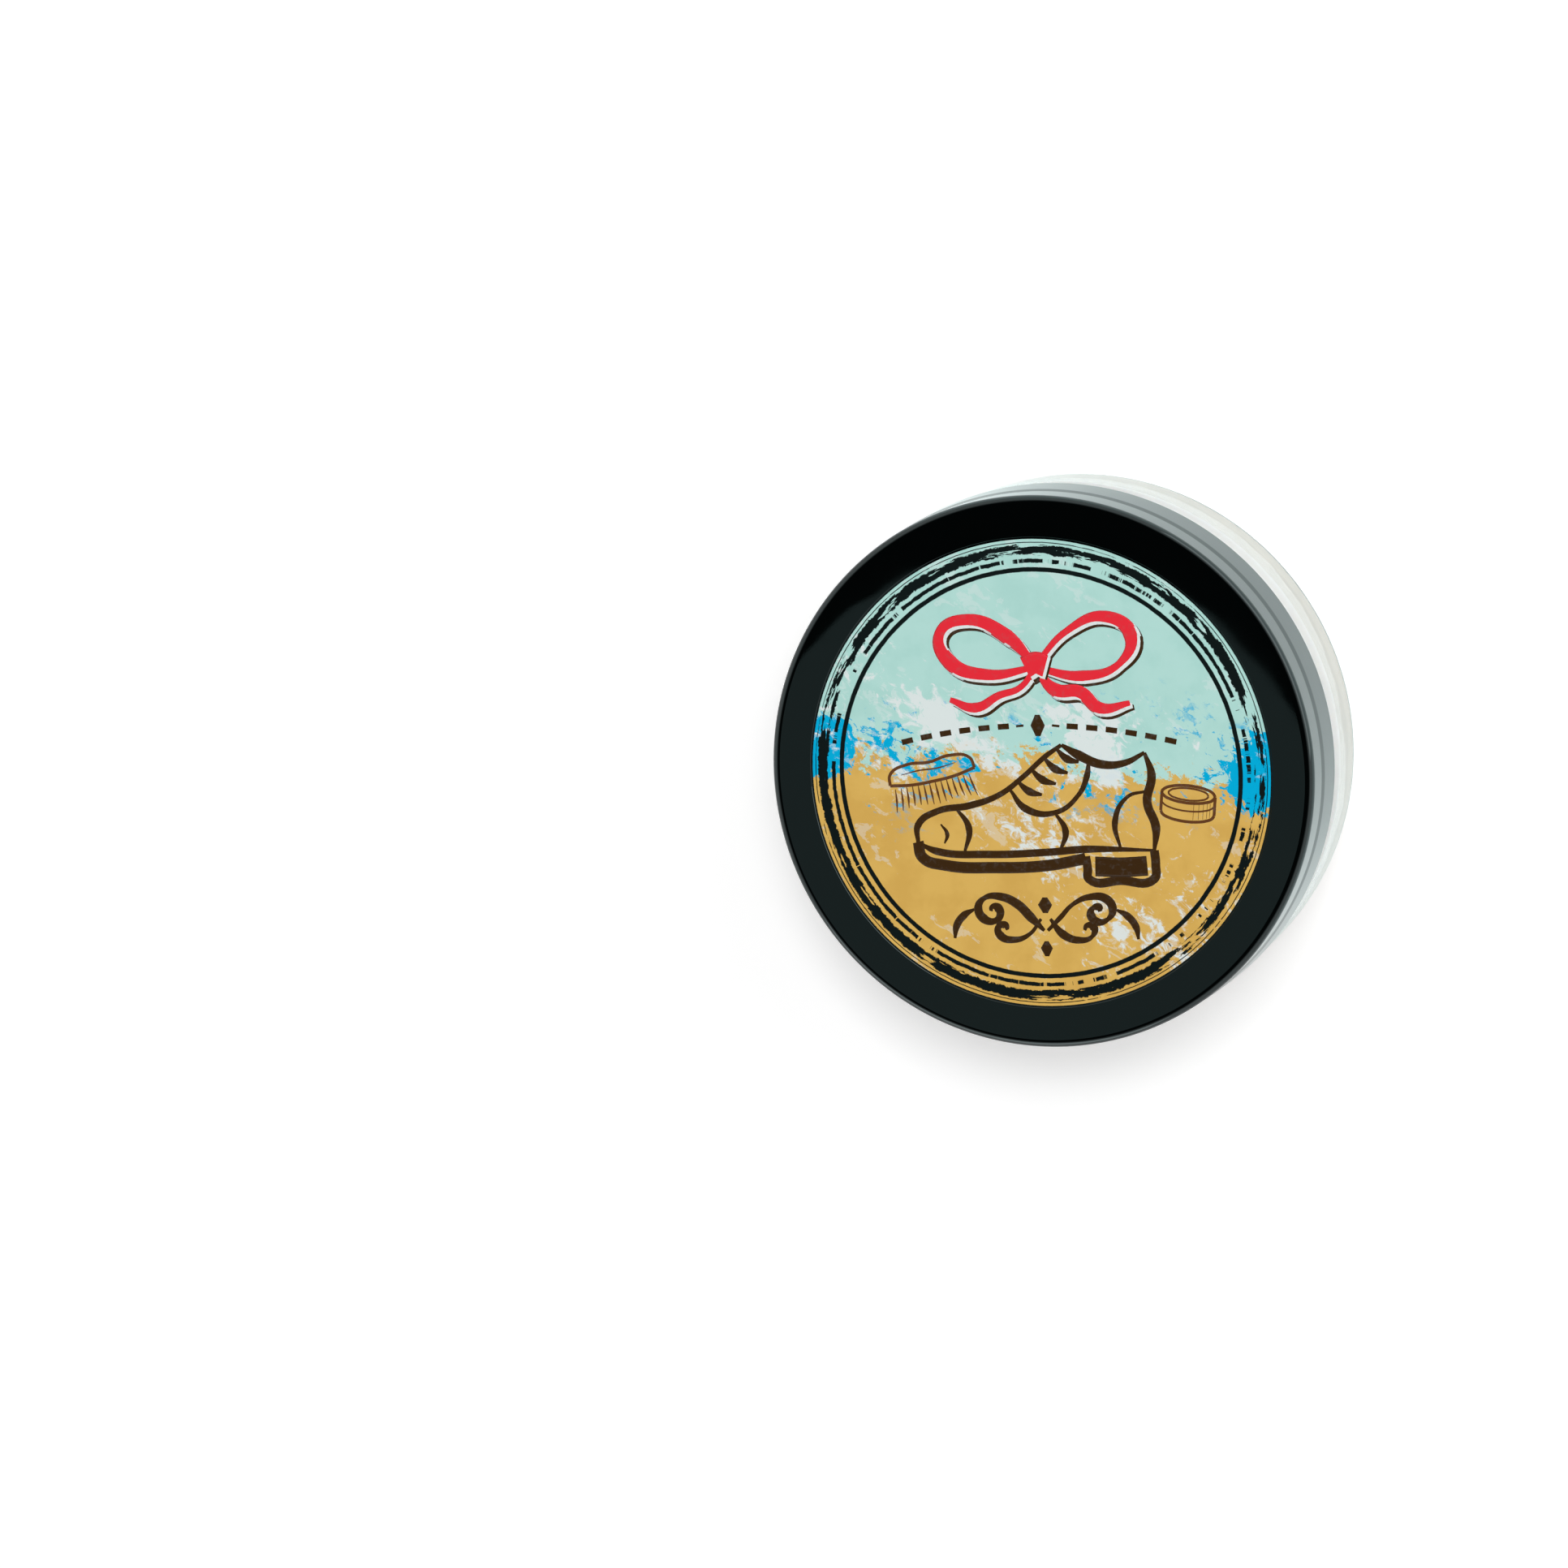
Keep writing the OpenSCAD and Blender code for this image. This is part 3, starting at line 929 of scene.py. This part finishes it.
def label_material():
    """Mint over ochre with a torn edge between them, blue dabs, white flakes and worn rings."""
    material, tree, shader = new_material("label_print", **PRINT_SATIN)
    place = millimetres(tree)
    x, y, _ = parts_of(tree, place)
    edge = torn_edge(tree, place, x, y)
    tone = ramp(tree, speckle(tree, place, 0.22, 3.0, 0.55), 0.38, 0.66)
    upper = mixed(tree, tone, MINT, MINT_DEEP)
    lower = mixed(tree, tone, OCHRE, OCHRE_DEEP)
    colour = mixed(tree, ramp(tree, edge, -0.1, 0.1), lower, upper)
    colour = blue_dabbed(tree, place, x, y, edge, colour)
    colour = white_flaked(tree, place, x, y, colour)
    rings = worn_rings(tree, x, y, distance(tree, x, y))
    wire(tree, mixed(tree, rings, colour, INK_BLACK), shader.inputs["Base Color"])
    grain = speckle(tree, place, 3.0, 3.0, 0.5)
    wire(tree, bumped(tree, grain, 0.12, 0.02 * MM), shader.inputs["Normal"])
    return material


def ink_material(name, colour):
    """Satin ink, paler in patches."""
    material, tree, shader = new_material(name, **PRINT_SATIN)
    place = millimetres(tree)
    pale = tuple(0.8 * c + 0.03 for c in colour[:3]) + (1,)
    tone = ramp(tree, speckle(tree, place, 1.4, 4.0, 0.6), 0.5, 0.72)
    wire(tree, mixed(tree, tone, colour, pale), shader.inputs["Base Color"])
    return material


def black_plastic():
    """Glossy black moulding with the faintest waviness, dust and rubbed haze."""
    material, tree, shader = new_material(
        "black_gloss", Base_Color=LID_BLACK, IOR=1.58, Specular_Tint=(0.82, 1, 1, 1)
    )
    place = millimetres(tree)
    haze = ramp(tree, speckle(tree, place, 0.12, 3.0, 0.6), 0.35, 0.7, 0.01, 0.024)
    scuffs = worn(tree, place, 0.9, 0.12)
    wire(tree, summed(tree, haze, scaled(tree, scuffs, 0.06)), shader.inputs["Roughness"])
    slow, quick = speckle(tree, place, 0.08, 1.0, 0.4), speckle(tree, place, 6.0, 2.0)
    wave = summed(tree, slow, scaled(tree, quick, 0.01))
    wire(tree, bumped(tree, wave, 0.14, 0.06 * MM), shader.inputs["Normal"])
    return material


def clear_plastic():
    """Water-clear plastic that lets lamp light through to the wax inside."""
    material, tree, shader = new_material(
        "clear_plastic", Base_Color=CLEAR_TINT, Roughness=0.0, IOR=1.49, Transmission_Weight=1.0
    )
    wave = speckle(tree, millimetres(tree), 0.11, 2.0, 0.5)
    wire(tree, bumped(tree, wave, 0.2, 0.08 * MM), shader.inputs["Normal"])
    passing = tree.nodes.new("ShaderNodeBsdfTransparent")
    passing.inputs["Color"].default_value = CLEAR_SHADOW
    path = tree.nodes.new("ShaderNodeLightPath")
    either = tree.nodes.new("ShaderNodeMixShader")
    tree.links.new(path.outputs["Is Shadow Ray"], either.inputs[0])
    tree.links.new(shader.outputs["BSDF"], either.inputs[1])
    tree.links.new(passing.outputs["BSDF"], either.inputs[2])
    tree.links.new(either.outputs["Shader"], tree.nodes["Material Output"].inputs["Surface"])
    return material


def wax_colour(tree, place):
    """The wax's colour: side, painted lighter low down where it touches the wall, a painted highlight
    on the shoulder, warm top and chalk.
    """
    x, y, z = parts_of(tree, place)
    tone = speckle(tree, place, 0.07, 4.0, 0.6)
    depth = ramp(tree, tone, 0.38, 0.64)
    colour = mixed(tree, depth, WAX_GREY, WAX_GREY_DEEP)
    # Painted light: lighter low down, for how the wax shows through the wall where no air film lies
    # between.
    wet_look = ramp(tree, summed(tree, z, scaled(tree, tone, 4)), *PAINTED_WET_LOOK_BELOW)
    colour = mixed(tree, scaled(tree, wet_look, 0.5), colour, WAX_PAINTED_WET_LOOK)
    # Painted highlight: the shoulder is painted near-white, fully on the side that faces the key light.
    high = ramp(tree, summed(tree, z, tone), *PAINTED_HIGHLIGHT_ABOVE)
    lit = ramp(tree, along(tree, x, y, LIT_SIDE), -14, 4, 0.25, 1.0)
    colour = mixed(tree, scaled(tree, high, lit), colour, WAX_PAINTED_HIGHLIGHT)
    inside = ramp(tree, distance(tree, x, y), *TOP_WITHIN)
    top = scaled(tree, inside, ramp(tree, z, *TOP_ABOVE))
    colour = mixed(tree, top, colour, mixed(tree, depth, WAX_UPPER, WAX_UPPER_DEEP))
    chalk = worn(tree, place, 2.2, 0.22)
    return mixed(tree, scaled(tree, chalk, 0.35), colour, WAX_CHALK), tone


def wax_material():
    """Set wax: warm grey, satin, chalky in patches."""
    material, tree, shader = new_material("set_wax", Subsurface_Weight=0.12, IOR=1.45)
    shader.inputs["Subsurface Radius"].default_value = (0.9, 0.7, 0.5)
    shader.inputs["Subsurface Scale"].default_value = 0.8 * MM
    place = millimetres(tree)
    colour, tone = wax_colour(tree, place)
    wire(tree, colour, shader.inputs["Base Color"])
    wire(tree, ramp(tree, tone, 0.3, 0.7, 0.3, 0.5), shader.inputs["Roughness"])
    fine = speckle(tree, place, 2.5, 5.0, 0.6)
    wire(tree, bumped(tree, fine, 0.12, 0.05 * MM), shader.inputs["Normal"])
    return material


def foam_material():
    """Closed-cell foam with fine cells and a slightly uneven tone."""
    material, tree, shader = new_material("liner_foam", Roughness=0.75)
    place = millimetres(tree)
    cells = tree.nodes.new("ShaderNodeTexVoronoi")
    cells.inputs["Scale"].default_value = 2.6
    tree.links.new(place, cells.inputs["Vector"])
    tone = ramp(tree, speckle(tree, place, 0.3, 3.0, 0.6), 0.4, 0.65)
    wire(tree, mixed(tree, tone, FOAM_WHITE, FOAM_WHITE_DEEP), shader.inputs["Base Color"])
    pores = bumped(tree, cells.outputs["Distance"], 0.35, 0.06 * MM)
    wire(tree, pores, shader.inputs["Normal"])
    return material


# ---------------------------------------------------------------- assembly


def finish_piece(piece, body, slot, material, *replaced):
    """Gives a piece its material and makes it ride on its body. The slot is not used."""
    piece.data.materials.clear()
    piece.data.materials.append(material)
    if replaced:
        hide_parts(*replaced)
    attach(piece, body)


def print_label():
    """Gives the frame's label its print, and lays the inked motifs on it in thin layers."""
    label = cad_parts["lid_label"]
    label.data.materials.clear()
    label.data.materials.append(label_material())
    brown = ink_material("ink_brown", INK_BROWN)
    sepia = ink_material("ink_sepia", INK_SEPIA)
    red = ink_material("ink_red", INK_RED)
    white = ink_material("ink_white", PAPER_WHITE)
    # Name, strokes and ink, and in millimetres the lift above the label, the extra width of the
    # strokes and the offset.
    layers = (
        ("print_drawings", BRUSH + SMALL_TIN, sepia, 0, 0, (0, 0)),
        ("print_stitches", STITCHES, brown, 0, 0, (0, 0)),
        ("print_shoe", SHOE, brown, 0.003, 0, (0, 0)),
        ("print_flourish", FLOURISH, brown, 0, 0, (0, 0)),
        ("print_bow_shade", LACE_BOW, brown, 0, 0.1, (0.55, -0.55)),
        ("print_bow_edge", LACE_BOW, white, 0.004, 0.1, (0.32, -0.32)),
        ("print_bow", LACE_BOW, red, 0.008, 0, (0, 0)),
    )
    for name, strokes, ink, lift, extra, offset in layers:
        layer = ink_layer(name, strokes, LABEL_FACE + lift * MM, extra, offset)
        finish_piece(layer, "lid", "label_print", ink)


def build_object():
    finish_piece(make_jar(), "jar", "clear_plastic", clear_plastic(), "jar_body")
    finish_piece(make_wax(), "jar", "wax", wax_material(), "wax_fill")
    finish_piece(make_liner(), "liner", "foam", foam_material(), "lid_liner")
    finish_piece(make_lid(), "lid", "black_plastic", black_plastic(), "lid_shell")
    print_label()


# ---------------------------------------------------------------- stage, lights and camera

FLOOR_WHITE = (0.87, 0.87, 0.87, 1)
WHITE = (1, 1, 1, 1)
COOL_WHITE = (0.68, 1, 1, 1)

# Strength of the floor's own glow, as the camera, clear plastic and glossy plastic see it.
CAMERA_GLOW = 0.28
THROUGH_GLOW = 0.2
MIRRORED_GLOW = 0.42


def make_floor():
    """A white floor that takes the object's shadow, with a cool glow in what mirrors it."""
    deselect()
    bpy.ops.mesh.primitive_plane_add(size=12, location=(0, 0, 0))
    floor = bpy.context.object
    floor.name = "white_floor"
    material, tree, shader = new_material("white_floor", Base_Color=FLOOR_WHITE, Roughness=0.9)
    shader.inputs["Specular IOR Level"].default_value = 0.0
    path = tree.nodes.new("ShaderNodeLightPath").outputs
    through = path["Is Transmission Ray"]
    mirrored_ray = maths(tree, "SUBTRACT", path["Is Glossy Ray"], through, clamp=True)
    wire(tree, mixed(tree, mirrored_ray, WHITE, COOL_WHITE), shader.inputs["Emission Color"])
    x, y, _ = parts_of(tree, millimetres(tree))
    lit = ramp(tree, along(tree, x, y, LIT_SIDE), -20, 20, 0.0, MIRRORED_GLOW)
    glow = summed(
        tree,
        scaled(tree, path["Is Camera Ray"], CAMERA_GLOW),
        scaled(tree, through, THROUGH_GLOW),
        scaled(tree, mirrored_ray, lit),
    )
    wire(tree, glow, shader.inputs["Emission Strength"])
    floor.data.materials.append(material)


def make_world():
    """Soft white light from all round, dark overhead, and white wherever the camera sees it."""
    world = bpy.data.worlds.new("white_studio")
    bpy.context.scene.world = world
    world.use_nodes = True
    tree = world.node_tree
    background = tree.nodes["Background"]
    coords = tree.nodes.new("ShaderNodeTexCoord")
    height = parts_of(tree, coords.outputs["Generated"])[2]
    path = tree.nodes.new("ShaderNodeLightPath").outputs
    light = ramp(tree, height, 0.5, 0.86, 1.0, 0.01)
    background.inputs["Color"].default_value = WHITE
    strength = maths(tree, "MAXIMUM", light, path["Is Camera Ray"])
    wire(tree, strength, background.inputs["Strength"])


def softbox(name, place, size, power):
    """A flat rectangular lamp that faces the object. Place and size are in metres."""
    deselect()
    bpy.ops.object.light_add(type="AREA", location=place)
    lamp = bpy.context.object
    lamp.name = name
    lamp.data.shape = "RECTANGLE"
    lamp.data.size, lamp.data.size_y = size
    lamp.data.energy = power
    lamp.rotation_euler = (-Vector(place)).to_track_quat("-Z", "Y").to_euler()
    return lamp


def reflector(name, place, size, power):
    """A dim cool card that faces straight down, for the sheen on the lower half of the lid."""
    card = softbox(name, place, size, power)
    card.rotation_euler = (0, 0, 0)
    card.data.shape = "ELLIPSE"
    card.data.color = (0.8, 1.0, 1.0)


def make_lights():
    """A key that leaves no highlight line on the lid's corner, two side lamps and the card."""
    key = softbox("key_softbox", (0.25, 0.33, 1.08), (0.36, 0.3), 5.5)
    key.visible_glossy = False
    softbox("side_softbox", (0.86, 0.54, 0.3), (1.5, 0.5), 3.5)
    softbox("front_softbox", (-0.45, -0.95, 0.42), (1.3, 0.5), 2.6)
    reflector("low_reflector", (-0.2436, -0.163, 0.93), (0.156, 0.152), 0.0155)


def make_camera():
    """A long lens from high on the right, rolled so that the label's width lies level."""
    place = Vector((241.66, 145.32, 931.56)) * MM
    aim = Vector((-31.66, 0.21, 38.55)) * MM
    ahead = (aim - place).normalized()
    up = Vector((1, 0, 0)).cross(ahead).normalized()
    right = ahead.cross(up)
    deselect()
    bpy.ops.object.camera_add(location=place)
    camera = bpy.context.object
    camera.rotation_euler = Matrix((right, up, -ahead)).transposed().to_euler()
    camera.data.lens = 167.7
    camera.data.sensor_width = 36
    camera.data.clip_start, camera.data.clip_end = 0.05, 50
    bpy.context.scene.camera = camera


make_camera()
build_object()
make_floor()
make_world()
make_lights()
bpy.context.scene.view_settings.view_transform = "Standard"
